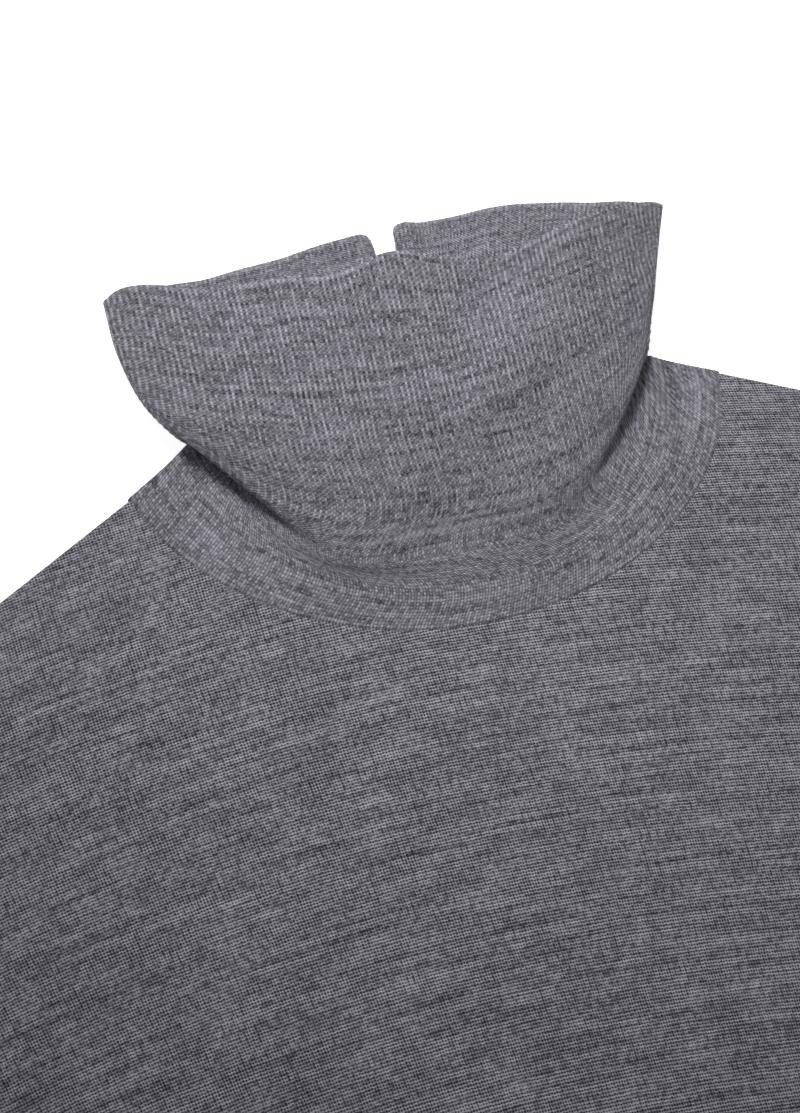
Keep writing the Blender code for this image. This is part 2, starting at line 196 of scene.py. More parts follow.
BAND_CREASES = (
    Crease(-40.0, -28.0, -40.0, 14.0, 6.0, 1.5),
    Crease(42.0, -45.5, 15.0, 17.0, 4.5, -1.8),
)
# On a sleeve, x and y run along it and across it
SLEEVE_CREASES = (
    Crease(150.0, -20.0, 35.0, 60.0, 17.0, 2.4),
    Crease(236.0, -34.0, 62.0, 48.0, 15.0, 2.0),
    Crease(330.0, 8.0, 78.0, 44.0, 15.0, 1.8),
    Crease(452.0, -10.0, 70.0, 36.0, 13.0, 1.5),
)

# ---- knit: its sizes and the way it lies on the pieces ------------------------------------
WALE = 1.42
COURSE = 1.09
HEM_RIB_HEIGHT = 55.0
RIBS = 232
RIB_WIDTH = 1.7
RIB_COURSE = 1.30
RIB_RELIEF = 0.05
COLLAR_HEIGHT = 130.0
FRONT_MIDDLE_RIBS = RIBS / 5
# The front's wales fan out towards the neck, and its courses arch round it
FAN_RATE = 0.0013
FAN_BOTTOM, FAN_TOP, FAN_SOFTNESS = -290.0, -90.0, 25.0
ARCH_MIDDLE_X = -36.0
ARCH_STEEPNESS = 0.34
ARCH_HALF_WIDTH = 160.0
ARCH_FADE = 1.3
PULL_SHARE = 0.06
PULL_REACH = 75.0
# Collar ribs on each of the rings: how wide they lie at the front middle, how far they are spread
# evenly across the ring (1) rather than along it (0) at its left and right, and the middle rib's x
RibSpread = namedtuple("RibSpread", "pitch left right middle_x")
RIB_SPREADS = (
    RibSpread(2.03, 0.0, 0.0, 0.2),
    RibSpread(1.86, 0.1, 0.15, 4.7),
    RibSpread(1.74, 0.0, 1.0, -3.0),
    RibSpread(1.58, 1.0, 0.0, 4.4),
    RibSpread(1.60, 1.0, 1.0, 5.1),
    RibSpread(1.62, 1.0, 1.0, 7.3),
    RibSpread(1.65, 1.0, 1.0, 9.8),
)
RIB_TILT = 0.05
SIDE_RIB_WIDENING = 0.12


def lerp(a, b, share):
    return a + (b - a) * share


def smooth(share):
    share = np.clip(share, 0.0, 1.0)
    return share * share * (3.0 - 2.0 * share)


def unit(vectors):
    return vectors / np.maximum(np.linalg.norm(vectors, axis=1, keepdims=True), 1e-12)


def arch(t, powers):
    """1 in the middle (t = 0), falling to 0 at both ends (t = -1 and 1)."""
    inner, outer = powers
    return np.maximum(0.0, 1.0 - np.abs(t) ** inner) ** outer


def bezier(p0, p1, p2, p3, share):
    """Points of a plane curve, one row for each share."""
    share = np.asarray(share, float)[..., None]
    rest = 1.0 - share
    p0, p1, p2, p3 = (np.array(p) for p in (p0, p1, p2, p3))
    return rest ** 3 * p0 + 3 * rest * rest * share * p1 + 3 * rest * share * share * p2 + share ** 3 * p3


def spline(points, steps):
    """Centripetal Catmull-Rom through rows of points, with that many steps between each two rows."""
    points = np.concatenate([[2 * points[0] - points[1]], points, [2 * points[-1] - points[-2]]])
    made = []
    for index, count in enumerate(steps):
        p0, p1, p2, p3 = points[index:index + 4]
        knots = [np.zeros(len(p0))]
        for a, b in ((p0, p1), (p1, p2), (p2, p3)):
            knots.append(knots[-1] + np.sqrt(np.maximum(np.linalg.norm((b - a)[:, :3], axis=-1), 1e-6)))
        t0, t1, t2, t3 = (knot[:, None] for knot in knots)
        for step in range(count):
            now = t1 + (t2 - t1) * step / count
            a1 = lerp(p0, p1, (now - t0) / (t1 - t0))
            a2 = lerp(p1, p2, (now - t1) / (t2 - t1))
            a3 = lerp(p2, p3, (now - t2) / (t3 - t2))
            b1 = lerp(a1, a2, (now - t0) / (t2 - t0))
            b2 = lerp(a2, a3, (now - t1) / (t3 - t1))
            made.append(lerp(b1, b2, (now - t1) / (t2 - t1)))
    made.append(points[-2])
    return np.array(made)


def crease_height(x, y, creases):
    height = np.zeros_like(x)
    for crease in creases:
        angle = math.radians(crease.heading)
        dx, dy = x - crease.x, y - crease.y
        along = (dx * math.cos(angle) + dy * math.sin(angle)) / crease.half_length
        across = (dy * math.cos(angle) - dx * math.sin(angle)) / crease.half_width
        height = height + crease.height * np.exp(-along * along - across * across)
    return height


# ---- shells from grids of points ----------------------------------------------------------

Grid = namedtuple("Grid", "points knit relief seam")
Sheet = namedtuple("Sheet", "points relief seam faces corner_knit")


def plan_grid(x, y, z, across, along, seam, relief=0.0):
    """A grid's points, its place in the knit (mm across the wales and along them), its rib relief, and
    where its free edges are seams (1) or rims (0)."""
    points = np.stack(np.broadcast_arrays(x, y, z), -1)
    knit = np.stack(np.broadcast_arrays(across, along), -1)
    size = points.shape[:2]
    return Grid(points, knit, np.broadcast_to(relief, size), np.broadcast_to(seam, size))


def mirrored(grid):
    """The grid with its columns the other way round, so that its faces look up again on the other side."""
    return Grid(*(part[:, ::-1] for part in grid))


def weld(grids):
    """One sheet of faces from the grids, joined where their points meet."""
    parts, offset = [], 0
    for grid in grids:
        rows, columns = grid.points.shape[:2]
        index = np.arange(rows * columns).reshape(rows, columns)
        quads = np.stack([index[:-1, :-1], index[:-1, 1:], index[1:, 1:], index[1:, :-1]], -1).reshape(-1, 4)
        parts.append(Sheet(grid.points.reshape(-1, 3), grid.relief.reshape(-1), grid.seam.reshape(-1),
                           quads + offset, grid.knit.reshape(-1, 2)[quads.ravel()]))
        offset += rows * columns
    points, relief, seam, faces, corner_knit = (np.concatenate(part) for part in zip(*parts))
    keys = np.round(points * WELD_STEPS).astype(np.int64)
    _, first, welded = np.unique(keys, axis=0, return_index=True, return_inverse=True)
    return Sheet(points[first], relief[first], seam[first], welded.reshape(-1)[faces], corner_knit)


def vertex_normals(points, faces):
    diagonal_a = points[faces[:, 2]] - points[faces[:, 0]]
    diagonal_b = points[faces[:, 3]] - points[faces[:, 1]]
    face_normals = np.cross(diagonal_a, diagonal_b)
    normals = np.zeros_like(points)
    for corner in range(4):
        np.add.at(normals, faces[:, corner], face_normals)
    return unit(normals)


def free_edges(faces):
    """Edges with one face, in that face's direction, with the corners of the face that they join."""
    starts = faces.ravel()
    ends = np.roll(faces, -1, axis=1).ravel()
    corners = np.arange(faces.size)
    next_corners = np.roll(corners.reshape(faces.shape), -1, axis=1).ravel()
    forward = starts.astype(np.int64) * (faces.max() + 1) + ends
    backward = ends.astype(np.int64) * (faces.max() + 1) + starts
    free = ~np.isin(forward, backward)
    return starts[free], ends[free], corners[free], next_corners[free]


def rim_outward(points, normals, starts, ends):
    """Direction along the cloth, out over its free edge, at each point of an edge, and 0 elsewhere."""
    sideways = unit(np.cross(points[ends] - points[starts], normals[starts]))
    outward = np.zeros_like(points)
    np.add.at(outward, starts, sideways)
    np.add.at(outward, ends, sideways)
    return unit(outward)


def shell(name, grids, material):
    """A closed wall round the welded grids, with rounded rims and a UV map in mm of knit."""
    sheet = weld(grids)
    normals = vertex_normals(sheet.points, sheet.faces)
    starts, ends, corners, next_corners = free_edges(sheet.faces)
    outward = rim_outward(sheet.points, normals, starts, ends)
    rim = np.unique(np.concatenate([starts, ends]))

    middle = sheet.points + normals * sheet.relief[:, None]
    rounding = lerp(RIM_ROUNDING, SEAM_ROUNDING, sheet.seam)[:, None]
    reach = (SEAM_REACH * sheet.seam)[:, None]
    face_edge = middle + outward * (reach - RIM_SETBACK * rounding)
    layers = [face_edge + normals * (WALL / 2), face_edge - normals * (WALL / 2)]
    for step in range(1, RIM_POINTS + 1):
        angle = math.pi * step / (RIM_POINTS + 1)
        rounded = middle + outward * (reach + rounding * (math.sin(angle) - RIM_SETBACK))
        layers.append((rounded + normals * (WALL / 2 * math.cos(angle)))[rim])
    vertices = np.concatenate(layers)
    vertices[:, 1] += PLAN_SHIFT

    count = len(sheet.points)
    rim_index = np.full(count, -1)
    rim_index[rim] = np.arange(len(rim))
    rim_rows = [np.arange(count)] + [2 * count + len(rim) * step + rim_index for step in range(RIM_POINTS)]
    rim_rows.append(np.arange(count) + count)
    rim_faces = [np.stack([upper[ends], upper[starts], lower[starts], lower[ends]], -1)
                 for upper, lower in zip(rim_rows[:-1], rim_rows[1:])]
    faces = np.concatenate([sheet.faces, sheet.faces[:, ::-1] + count] + rim_faces)
    start_knit, end_knit = sheet.corner_knit[corners], sheet.corner_knit[next_corners]
    rim_knit = np.stack([end_knit, start_knit, start_knit, end_knit], 1).reshape(-1, 2)
    under_knit = sheet.corner_knit.reshape(-1, 4, 2)[:, ::-1].reshape(-1, 2)
    corner_knit = np.concatenate([sheet.corner_knit, under_knit] + [rim_knit] * len(rim_faces))
    return quad_piece(name, vertices, faces, corner_knit, material)


def quad_piece(name, vertices, faces, corner_knit, material):
    mesh = bpy.data.meshes.new(name)
    mesh.vertices.add(len(vertices))
    mesh.vertices.foreach_set("co", (vertices * MM).astype(np.float32).ravel())
    mesh.loops.add(faces.size)
    mesh.loops.foreach_set("vertex_index", faces.astype(np.int32).ravel())
    mesh.polygons.add(len(faces))
    mesh.polygons.foreach_set("loop_start", np.arange(0, faces.size, 4, dtype=np.int32))
    mesh.update(calc_edges=True)
    knit_map = mesh.uv_layers.new(name="Knit")
    knit_map.data.foreach_set("uv", corner_knit.astype(np.float32).ravel())
    mesh.validate()
    mesh.shade_smooth()
    mesh.materials.append(material)
    piece = bpy.data.objects.new(name, mesh)
    bpy.context.scene.collection.objects.link(piece)
    return piece


# ---- body panels --------------------------------------------------------------------------

def armhole(share):
    """Points of the armhole, from the underarm (0) to the shoulder point (1)."""
    return bezier(UNDERARM_POINT, *ARMHOLE_HANDLES, SHOULDER_POINT, share)


def panel_ends(neck_depth):
    """Inner and outer end of each row of the half panel, from the hem to the shoulder seam."""
    underarm_y = UNDERARM_POINT[1] + UNDERARM_SAG
    hem_share = np.arange(HEM_ROWS) / HEM_ROWS
    chest_share = np.arange(CHEST_ROWS) / CHEST_ROWS
    yoke_share = np.arange(YOKE_ROWS + 1) / YOKE_ROWS
    t = np.sin(math.pi / 2 * yoke_share)
    inset = NECK_POINT_INSET * t ** SIDE_FOLD_SHARPNESS
    inner_x = np.concatenate([0 * hem_share, 0 * chest_share, NECK_HALF * t - inset])
    inner_y = np.concatenate([lerp(HEM_POINT[1], underarm_y, hem_share),
                              lerp(underarm_y, -neck_depth, chest_share),
                              -neck_depth * arch(t, NECK_SHAPE)])
    side = bezier(HEM_POINT, *SIDE_HANDLES, UNDERARM_POINT, hem_share)
    chest_end = armhole(YOKE_ARMHOLE_SHARE * chest_share)
    yoke_end = armhole(lerp(YOKE_ARMHOLE_SHARE, 1.0, yoke_share))
    return np.stack([inner_x, inner_y], -1), np.concatenate([side, chest_end, yoke_end])


def front_height(x, y, edge_distance, nearness):
    shoulder_line = -(np.abs(x) - NECK_HALF) * math.tan(SHOULDER_SLOPE)
    shoulder_distance = (shoulder_line - y) * math.cos(SHOULDER_SLOPE)
    side = smooth(edge_distance / PUFF_REACH)
    hem = smooth((y - HEM_POINT[1]) / PUFF_REACH)
    shoulder = smooth((shoulder_distance + NECK_POINT_LIFT) / PUFF_REACH)
    inside = side * hem * shoulder * (FRONT_PUFF + crease_height(x, y, FRONT_CREASES))
    return FRONT_LEVEL + inside + ARMHOLE_LIFT * nearness * (1.0 - side)


def body_knit(x, y):
    """Place in the knit of a body panel: the wales fan out and the courses arch towards the neck."""
    rise = FAN_SOFTNESS * (np.logaddexp(0.0, (y - FAN_BOTTOM) / FAN_SOFTNESS)
                           - np.logaddexp(0.0, (y - FAN_TOP) / FAN_SOFTNESS))
    from_middle = x - ARCH_MIDDLE_X
    pulled = from_middle * (1.0 + PULL_SHARE * np.tanh(from_middle / PULL_REACH))
    bow = ARCH_STEEPNESS * (np.hypot(from_middle, ARCH_HALF_WIDTH) - ARCH_HALF_WIDTH)
    fade = smooth((y - HEM_POINT[1]) / (FAN_TOP - HEM_POINT[1]) * ARCH_FADE)
    return pulled / np.exp(FAN_RATE * rise), y + bow * fade


def build_panel(name, neck_depth, is_front, material):
    inner, outer = panel_ends(neck_depth)
    crowd = 1.0 - (1.0 - np.arange(PANEL_COLUMNS + 1) / PANEL_COLUMNS) ** COLUMN_CROWDING
    x = lerp(inner[:, :1], outer[:, :1], crowd)
    y = lerp(inner[:, 1:], outer[:, 1:], crowd)
    edge_distance = np.hypot(x - outer[:, :1], y - outer[:, 1:])
    row = np.arange(len(inner))[:, None]
    up_armhole = (row - HEM_ROWS) / (CHEST_ROWS + YOKE_ROWS)
    nearness = smooth(ARMHOLE_LIFT_START * up_armhole) * smooth(ARMHOLE_LIFT_END * (1.0 - up_armhole))
    grids = []
    for side in (1, -1):
        z = front_height(side * x, y, edge_distance, nearness) if is_front else np.full_like(x, BACK_LEVEL)
        across, along = body_knit(side * x, y)
        grid = plan_grid(side * x, y, z, across, along, row > 0)
        grids.append(grid if side > 0 else mirrored(grid))
    return shell(name, grids, material)


# ---- sleeves ------------------------------------------------------------------------------

def sleeve_point(along, across):
    """Plan point of the right sleeve, from its place along and across the sleeve."""
    x = SHOULDER_POINT[0] + along * math.cos(SLEEVE_HEADING) - across * math.sin(SLEEVE_HEADING)
    y = SHOULDER_POINT[1] + along * math.sin(SLEEVE_HEADING) + across * math.cos(SLEEVE_HEADING)
    return np.stack([x, y], -1)


def sleeve_plan(station, share):
    """Points of the right sleeve at a station, from its top edge (share 0) to its under edge (1).

    The station may be a fraction. Also gives the points' places along and across the sleeve."""
    ends = np.array(SLEEVE_STATIONS)
    at = [np.interp(station, np.arange(len(ends)), ends[:, column]) for column in range(4)]
    along, across = lerp(at[0], at[2], share), lerp(at[1], at[3], share)
    bow = max(0.0, 1.0 - station / SLEEVE_CAP_STATIONS) ** SLEEVE_CAP_FADE
    cap = SLEEVE_STATIONS[0]
    chord = sleeve_point(lerp(cap.top_along, cap.under_along, share),
                         lerp(cap.top_across, cap.under_across, share))
    plan = sleeve_point(along, across) + bow * (armhole(1.0 - share) - chord)
    before = armhole(1.0 - np.maximum(0.0, share - TANGENT_STEP))
    after = armhole(1.0 - np.minimum(1.0, share + TANGENT_STEP))
    fold_room = SLEEVE_FOLD_ROOM * np.abs(2.0 * share - 1.0) ** SIDE_FOLD_SHARPNESS
    reach = (SEAM_GAP + fold_room) / np.linalg.norm(after - before, axis=-1) * max(0.0, 1.0 - station)
    plan[..., 0] += reach * (before[..., 1] - after[..., 1])
    plan[..., 1] += reach * (after[..., 0] - before[..., 0])
    return plan, along, across


def sleeve_ring(station):
    """Ring of the right sleeve over its top, round its under edge, back below and round its top edge."""
    ends, _, _ = sleeve_plan(station, np.array([0.0, 1.0]))
    width = np.linalg.norm(ends[1] - ends[0])
    fold_share = (WALL / 2 + FOLD_RADIUS) / width
    evenly = np.linspace(0.0, 1.0, SLEEVE_COLUMNS + 1)
    crowded = 0.5 - 0.5 * np.cos(math.pi * evenly)
    shares = lerp(fold_share, 1.0 - fold_share, lerp(crowded, evenly, SLEEVE_EVENNESS))
    plan, along, across = sleeve_plan(station, shares)
    from_edges = smooth(SLEEVE_EDGE_PUFF * np.minimum(shares, 1.0 - shares))
    inside = from_edges * smooth(SLEEVE_CAP_PUFF + station / SLEEVE_CAP_STATIONS)
    top_z = TUBE_TOP_LEVEL + inside * (SLEEVE_PUFF + crease_height(along, across, SLEEVE_CREASES))
    angle = math.pi * np.arange(1, SLEEVE_FOLD_POINTS) / SLEEVE_FOLD_POINTS
    folds = []
    for end, direction in ((-1, 1), (0, -1)):
        inner = plan[end - direction]
        outward = (plan[end] - inner) / np.linalg.norm(plan[end] - inner)
        xy = plan[end] + outward * (FOLD_RADIUS * np.sin(angle))[:, None]
        z = BACK_LEVEL + FOLD_RADIUS + FOLD_RADIUS * np.cos(angle) * direction
        folds.append(np.column_stack([xy, z]))
    top = np.column_stack([plan, top_z])
    under = np.column_stack([plan[::-1], np.full(len(plan), BACK_LEVEL)])
    return np.concatenate([top, folds[0], under, folds[1], top[:1]]), width


def build_sleeve(name, side, material):
    rings, around = [], []
    for station in np.linspace(0.0, len(SLEEVE_STATIONS) - 1, SLEEVE_ROWS + 1):
        ring, width = sleeve_ring(station)
        length = np.concatenate([[0.0], np.cumsum(np.linalg.norm(np.diff(ring, axis=0), axis=1))])
        rings.append(ring)
        around.append(length * 2.0 * width / length[-1])
    rings = np.array(rings)
    step = np.linalg.norm(np.diff(rings, axis=0), axis=2).mean(axis=1)
    above_cuff = (step.sum() - np.concatenate([[0.0], np.cumsum(step)]))[:, None]
    at_cap = (np.arange(len(rings)) < len(rings) // 2)[:, None]
    x, y, z = np.moveaxis(rings, -1, 0)
    grid = plan_grid(side * x, y, z, np.array(around), HEM_POINT[1] + above_cuff, at_cap)
    return shell(name, [mirrored(grid) if side > 0 else grid], material)


# ---- collar -------------------------------------------------------------------------------

def collar_ring(ring, front_places, back_places):
    """Ring from the centre back, round the left fold, the front and the right fold, to the centre back."""
    left, right = np.array(ring.left), np.array(ring.right)
    centre_x, half = (left[0] + right[0]) / 2, (right[0] - left[0]) / 2
    middle = (left + right) / 2

    def plan_x(t):
        return centre_x + half * t - FOLD_RADIUS * np.sign(t) * np.abs(t) ** SIDE_FOLD_SHARPNESS

    def side_height(t):
        share = (t + 1.0) / 2.0
        return lerp(left[1], right[1], share), lerp(left[2], right[2], share)

    def front(t):
        y, z = side_height(t)
        rise = ring.front[1] - middle[2] - FOLD_RADIUS
        bulge = np.maximum(0.0, 1.0 - t * t) ** FRONT_BULGE
        reach = np.where(t < 0.0, arch(t, ring.front_left_arch), arch(t, ring.front_right_arch))
        return np.stack([plan_x(t), y + (ring.front[0] - middle[1]) * reach,
                         z + FOLD_RADIUS + rise * bulge], -1)

    def back(t, powers):
        y, z = side_height(t)
        rest = smooth((1.0 - np.abs(t)) / BACK_REST_SHARE)
        return np.stack([plan_x(t), y + (ring.back[0] - middle[1]) * arch(t, powers),
                         lerp(z - FOLD_RADIUS, ring.back[1], rest)], -1)

    def fold(side, x, direction):
        angle = math.pi * np.arange(1, COLLAR_FOLD_POINTS + 1) / (COLLAR_FOLD_POINTS + 1)
        return np.stack([x + FOLD_RADIUS * np.sin(angle) * direction, np.full(len(angle), side[1]),
                         side[2] + FOLD_RADIUS * np.cos(angle) * direction], -1)

    one = np.array(1.0)
    return np.concatenate([back(-back_places, ring.back_left_arch), fold(left, plan_x(-one), -1),
                           front(front_places), fold(right, plan_x(one), 1),
                           back(back_places[::-1], ring.back_right_arch)])


def rib_numbers(ring, across, in_front, spread):
    """Rib number at each point of a ring: 0 and RIBS at the centre back, RIBS / 2 at the middle in front."""
    moves = np.diff(ring, axis=0)
    length = np.linalg.norm(moves, axis=1)
    between = (across[1:] + across[:-1]) / 2.0
    evenness = lerp(spread.left, spread.right, smooth((between + 1.0) / 2.0))
    widening = 1.0 + between * (RIB_TILT + SIDE_RIB_WIDENING * between)
    ribs = lerp(length, np.abs(moves[:, 0]), evenness) / (spread.pitch * widening)
    front = np.flatnonzero(in_front)
    first, last = front[0], front[-1]
    number = np.zeros(len(ring))
    number[first + 1:last + 1] = np.cumsum(ribs[first:last])
    middle = np.interp(spread.middle_x, ring[first:last + 1, 0], number[first:last + 1])
    number[first:last + 1] += RIBS / 2 - middle
    left = np.concatenate([[0.0], np.cumsum(length[:first])])
    number[:first + 1] = number[first] * left / left[-1]
    right = np.concatenate([[0.0], np.cumsum(length[last:])])
    number[last:] = lerp(number[last], RIBS, right / right[-1])
    return number


def collar_rows(rib):
    """Rows of points from the seam to the rim, at those rib numbers, with each point's place across
    the front or back (-1 at the left fold, 1 at the right) and whether it lies in front."""
    phase = np.linspace(0.0, math.pi, COLLAR_MASTER_HALF + 1)
    front_places = -np.cos(phase)
    back_places = np.sin(phase[:COLLAR_MASTER_HALF // 2 + 1])
    back_places[-1] = 1.0
    folds = np.ones(COLLAR_FOLD_POINTS)
    across = np.concatenate([-back_places, -folds, front_places, folds, back_places[::-1]])
    in_front = np.zeros(len(across))
    start = len(back_places) + COLLAR_FOLD_POINTS
    in_front[start:start + len(front_places)] = 1.0

    rings = []
    for ring, spread in zip(COLLAR_RINGS, RIB_SPREADS):
        points = collar_ring(ring, front_places, back_places)
        rings.append(np.column_stack([points, rib_numbers(points, across, in_front, spread)]))
    rows = []
    for row in spline(np.array(rings), COLLAR_STEPS):
        number = np.maximum.accumulate(row[:, 3])
        values = np.column_stack([row[:, :3], across, in_front])
        rows.append(np.stack([np.interp(rib, number, column) for column in values.T], -1))
    rows = np.array(rows)
    return rows[..., :3], rows[..., 3], rows[..., 4] > 0.5


def rim_rise(across, below, waves):
    rise = np.zeros_like(across)
    for wave in waves:
        rise += wave.rise * np.exp(-((across - wave.place + wave.lean * below) / wave.half_width) ** 2)
    return rise


def shape_front_and_rim(rows, rim, across, in_front):
    """Moves the rows to the rim's waves, and the front's to its creases too."""
    below = np.linalg.norm(rows - rim, axis=-1)
    inside = np.maximum(0.0, 1.0 - across ** SIDE_FOLD_SHARPNESS)
    rise = np.where(in_front, inside * rim_rise(across, below, FRONT_RIM_WAVES),
                    rim_rise(across, below, BACK_RIM_WAVES))
    rows[..., 1:] += (rise * smooth(1.0 - below / RIM_WAVE_REACH) * UP_AND_OUT)[..., None]
    row = np.arange(len(rows))[:, None]
    above_fold = smooth((row - sum(COLLAR_STEPS[:2])) / COLLAR_STEPS[2])
    on_band = smooth(row / COLLAR_STEPS[0]) * (1.0 - above_fold)
    x, y = rows[..., 0], rows[..., 1]
    creases = above_fold * crease_height(x, y, COLLAR_CREASES) + on_band * crease_height(x, y, BAND_CREASES)
    rows[..., 2] += np.where(in_front, creases * (1.0 - across ** 2), 0.0)


def open_slit(rows, rim, across, at_back, edge, opening, corner_size):
    """Moves one half of the back away from the slit, and rounds its corner at the rim."""
    edge_x = rows[:, edge, 0][:, None]
    depth = (rim[edge, 1] - rows[:, edge, 1])[:, None]
    open_share = np.maximum(0.0, 1.0 - depth / SLIT_DEPTH) ** SLIT_TAPER
    pull_share = smooth(1.0 - np.abs(across) / SLIT_PULL_SHARE)
    pull = (SLIT_MIDDLE_X - edge_x + opening) * open_share * pull_share
    inset = np.maximum(0.0, corner_size - np.abs(rows[..., 0] - edge_x))
    corner = corner_size - np.sqrt(corner_size ** 2 - inset ** 2)
    rows[..., 0] += np.where(at_back, pull, 0.0)
    rows[..., 1] -= np.where(at_back, corner * smooth(1.0 - depth / SLIT_CORNER_REACH), 0.0)


def build_collar(name, material):
    rib = np.arange(RIBS * SAMPLES_PER_RIB + 1) / SAMPLES_PER_RIB
    rows, across, in_front = collar_rows(rib)
    rim = rows[-1].copy()
    shape_front_and_rim(rows, rim, across, in_front)
    left_half = np.broadcast_to(rib < RIBS / 2, across.shape)
    open_slit(rows, rim, across, left_half & ~in_front, 0, -SLIT_HALF, SLIT_LEFT_CORNER)
    open_slit(rows, rim, across, ~left_half & ~in_front, -1, SLIT_HALF, SLIT_RIGHT_CORNER)

    step = np.linalg.norm(np.diff(rows, axis=0), axis=2)
    step = step[:, np.abs(rib - RIBS / 2) < FRONT_MIDDLE_RIBS].mean(axis=1)
    up = np.concatenate([[0.0], np.cumsum(step)])[:, None]
    inside = np.maximum(0.0, 1.0 - across ** SIDE_FOLD_SHARPNESS)
    relief = RIB_RELIEF * np.cos(2 * math.pi * rib) * inside
    at_neck = (np.arange(len(rows)) == 0)[:, None]
    x, y, z = np.moveaxis(rows, -1, 0)
    grid = plan_grid(x, y, z, rib * RIB_WIDTH, up * COLLAR_HEIGHT / up[-1], at_neck, relief)
    return shell(name, [grid], material)


# ---- materials ----------------------------------------------------------------------------

class NodeGraph:
    """Short names for building a material's nodes."""

    def __init__(self, name):
        self.material = bpy.data.materials.new(name)
        self.material.use_nodes = True
        self.nodes = self.material.node_tree.nodes
        self.links = self.material.node_tree.links
        self.shader = self.nodes["Principled BSDF"]

    def feed(self, socket, value):
        if isinstance(value, bpy.types.NodeSocket):
            self.links.new(value, socket)
        else:
            socket.default_value = value

    def math(self, operation, a, b=0.0, c=0.0):
        node = self.nodes.new("ShaderNodeMath")
        node.operation = operation
        for socket, value in zip(node.inputs, (a, b, c)):
            self.feed(socket, value)
        return node.outputs[0]

    def add_up(self, total, *terms):
        """The total plus each share times its weight."""
        for share, weight in terms:
            total = self.math("MULTIPLY_ADD", share, weight, total)
        return total

    def vector(self, x, y, z=0.0):
        node = self.nodes.new("ShaderNodeCombineXYZ")
        for socket, value in zip(node.inputs, (x, y, z)):
            self.feed(socket, value)
        return node.outputs[0]

    def noise(self, vector, detail=1.0):
        node = self.nodes.new("ShaderNodeTexNoise")
        self.feed(node.inputs["Vector"], vector)
        node.inputs["Scale"].default_value = 1.0
        node.inputs["Detail"].default_value = detail
        return node.outputs["Fac"]

    def patches(self, x, y, size, seed=0.0, detail=1.0):
        """Soft noise in patches about that wide and high."""
        place = self.vector(self.math("DIVIDE", x, size[0]), self.math("DIVIDE", y, size[1]), seed)
        return self.noise(place, detail)

    def line_noise(self, line, along, way):
        """Noise that jumps from one line to the next, and changes softly along each."""
        jumps = self.math("MULTIPLY", line, way.jump)
        return self.noise(self.vector(jumps, self.math("DIVIDE", along, way.length), way.seed))

    def random(self, vector):
        node = self.nodes.new("ShaderNodeTexWhiteNoise")
        node.noise_dimensions = "3D"
        self.feed(node.inputs["Vector"], vector)
        return node.outputs["Value"]

    def wave(self, phase):
        """A cosine from 0 to 1, with a crest wherever the phase is a whole number."""
        cosine = self.math("COSINE", self.math("MULTIPLY", phase, 2 * math.pi))
        return self.math("MULTIPLY_ADD", cosine, 0.5, 0.5)

    def share(self, value, low, high):
        """0 up to low, 1 from high on, and softly in between."""
        node = self.nodes.new("ShaderNodeMapRange")
        node.interpolation_type = "SMOOTHSTEP"
        for label, number in (("From Min", low), ("From Max", high)):
            node.inputs[label].default_value = number
        self.feed(node.inputs["Value"], value)
        return node.outputs["Result"]

    def knit_place(self, wale, course):
        """The knit map, in mm, as wale and course numbers."""
        node = self.nodes.new("ShaderNodeUVMap")
        node.uv_map = "Knit"
        parts = self.nodes.new("ShaderNodeSeparateXYZ")
        self.links.new(node.outputs["UV"], parts.inputs[0])
        return self.math("DIVIDE", parts.outputs[0], wale), self.math("DIVIDE", parts.outputs[1], course)

    def mix_colour(self, share, dark, light):
        node = self.nodes.new("ShaderNodeMix")
        node.data_type = "RGBA"
        node.clamp_factor = True
        self.feed(node.inputs[0], share)
        node.inputs[6].default_value = dark
        node.inputs[7].default_value = light
        return node.outputs[2]


# The dark colour is both the darkest heather yarn and the painted shade deep in the gaps between the loops
DARK_YARN_AND_GAP_SHADE = (0.010, 0.010, 0.015, 1.0)
YARN_LIGHT = (0.450, 0.438, 0.505, 1.0)
KNIT_ROUGHNESS = 0.88
KNIT_SPECULAR = 0.18
SHEEN_WEIGHT = 0.08
SHEEN_ROUGHNESS = 0.5
STITCH_HEIGHT = 0.00035
STITCH_BUMP = 0.8

# Heather of the yarn: how much each layer counts, and its size across the wales and along them in mm
STREAK_SIZE = (34.0, 2.2)
ROW_TONE, ROW_LENGTH, ROW_JUMP = 0.60, 26.0, 3.7
CLOUD_TONE, CLOUD_SIZE = 0.04, (60.0, 24.0)
FLECK_SIZE = (0.62, 0.55)
STITCH_TONE = 0.90
Heather = namedtuple("Heather", "middle_tone streaks flecks")
JERSEY_HEATHER = Heather(0.71, 1.50, 1.30)
RIB_HEATHER = Heather(0.68, 1.40, 1.75)

# Over how many stitches the lines of stitches wander, and how far in all, in stitches
Wander = namedtuple("Wander", "length reach")
WALE_WANDER, COURSE_WANDER = Wander(6.0, 0.30), Wander(7.0, 0.60)
RIB_WANDER, RIB_COURSE_WANDER = Wander(5.0, 0.6), Wander(6.0, 1.0)

# Noise that differs from line to line: its step per line, its length along one in stitches, its seed
LineNoise = namedtuple("LineNoise", "jump length seed")
WALE_GAP_NOISE = LineNoise(7.3, 6.0, 3.0)
COURSE_GAP_NOISE = LineNoise(5.9, 8.0, 6.0)
CLEARNESS_NOISE = LineNoise(4.7, 6.0, 8.0)
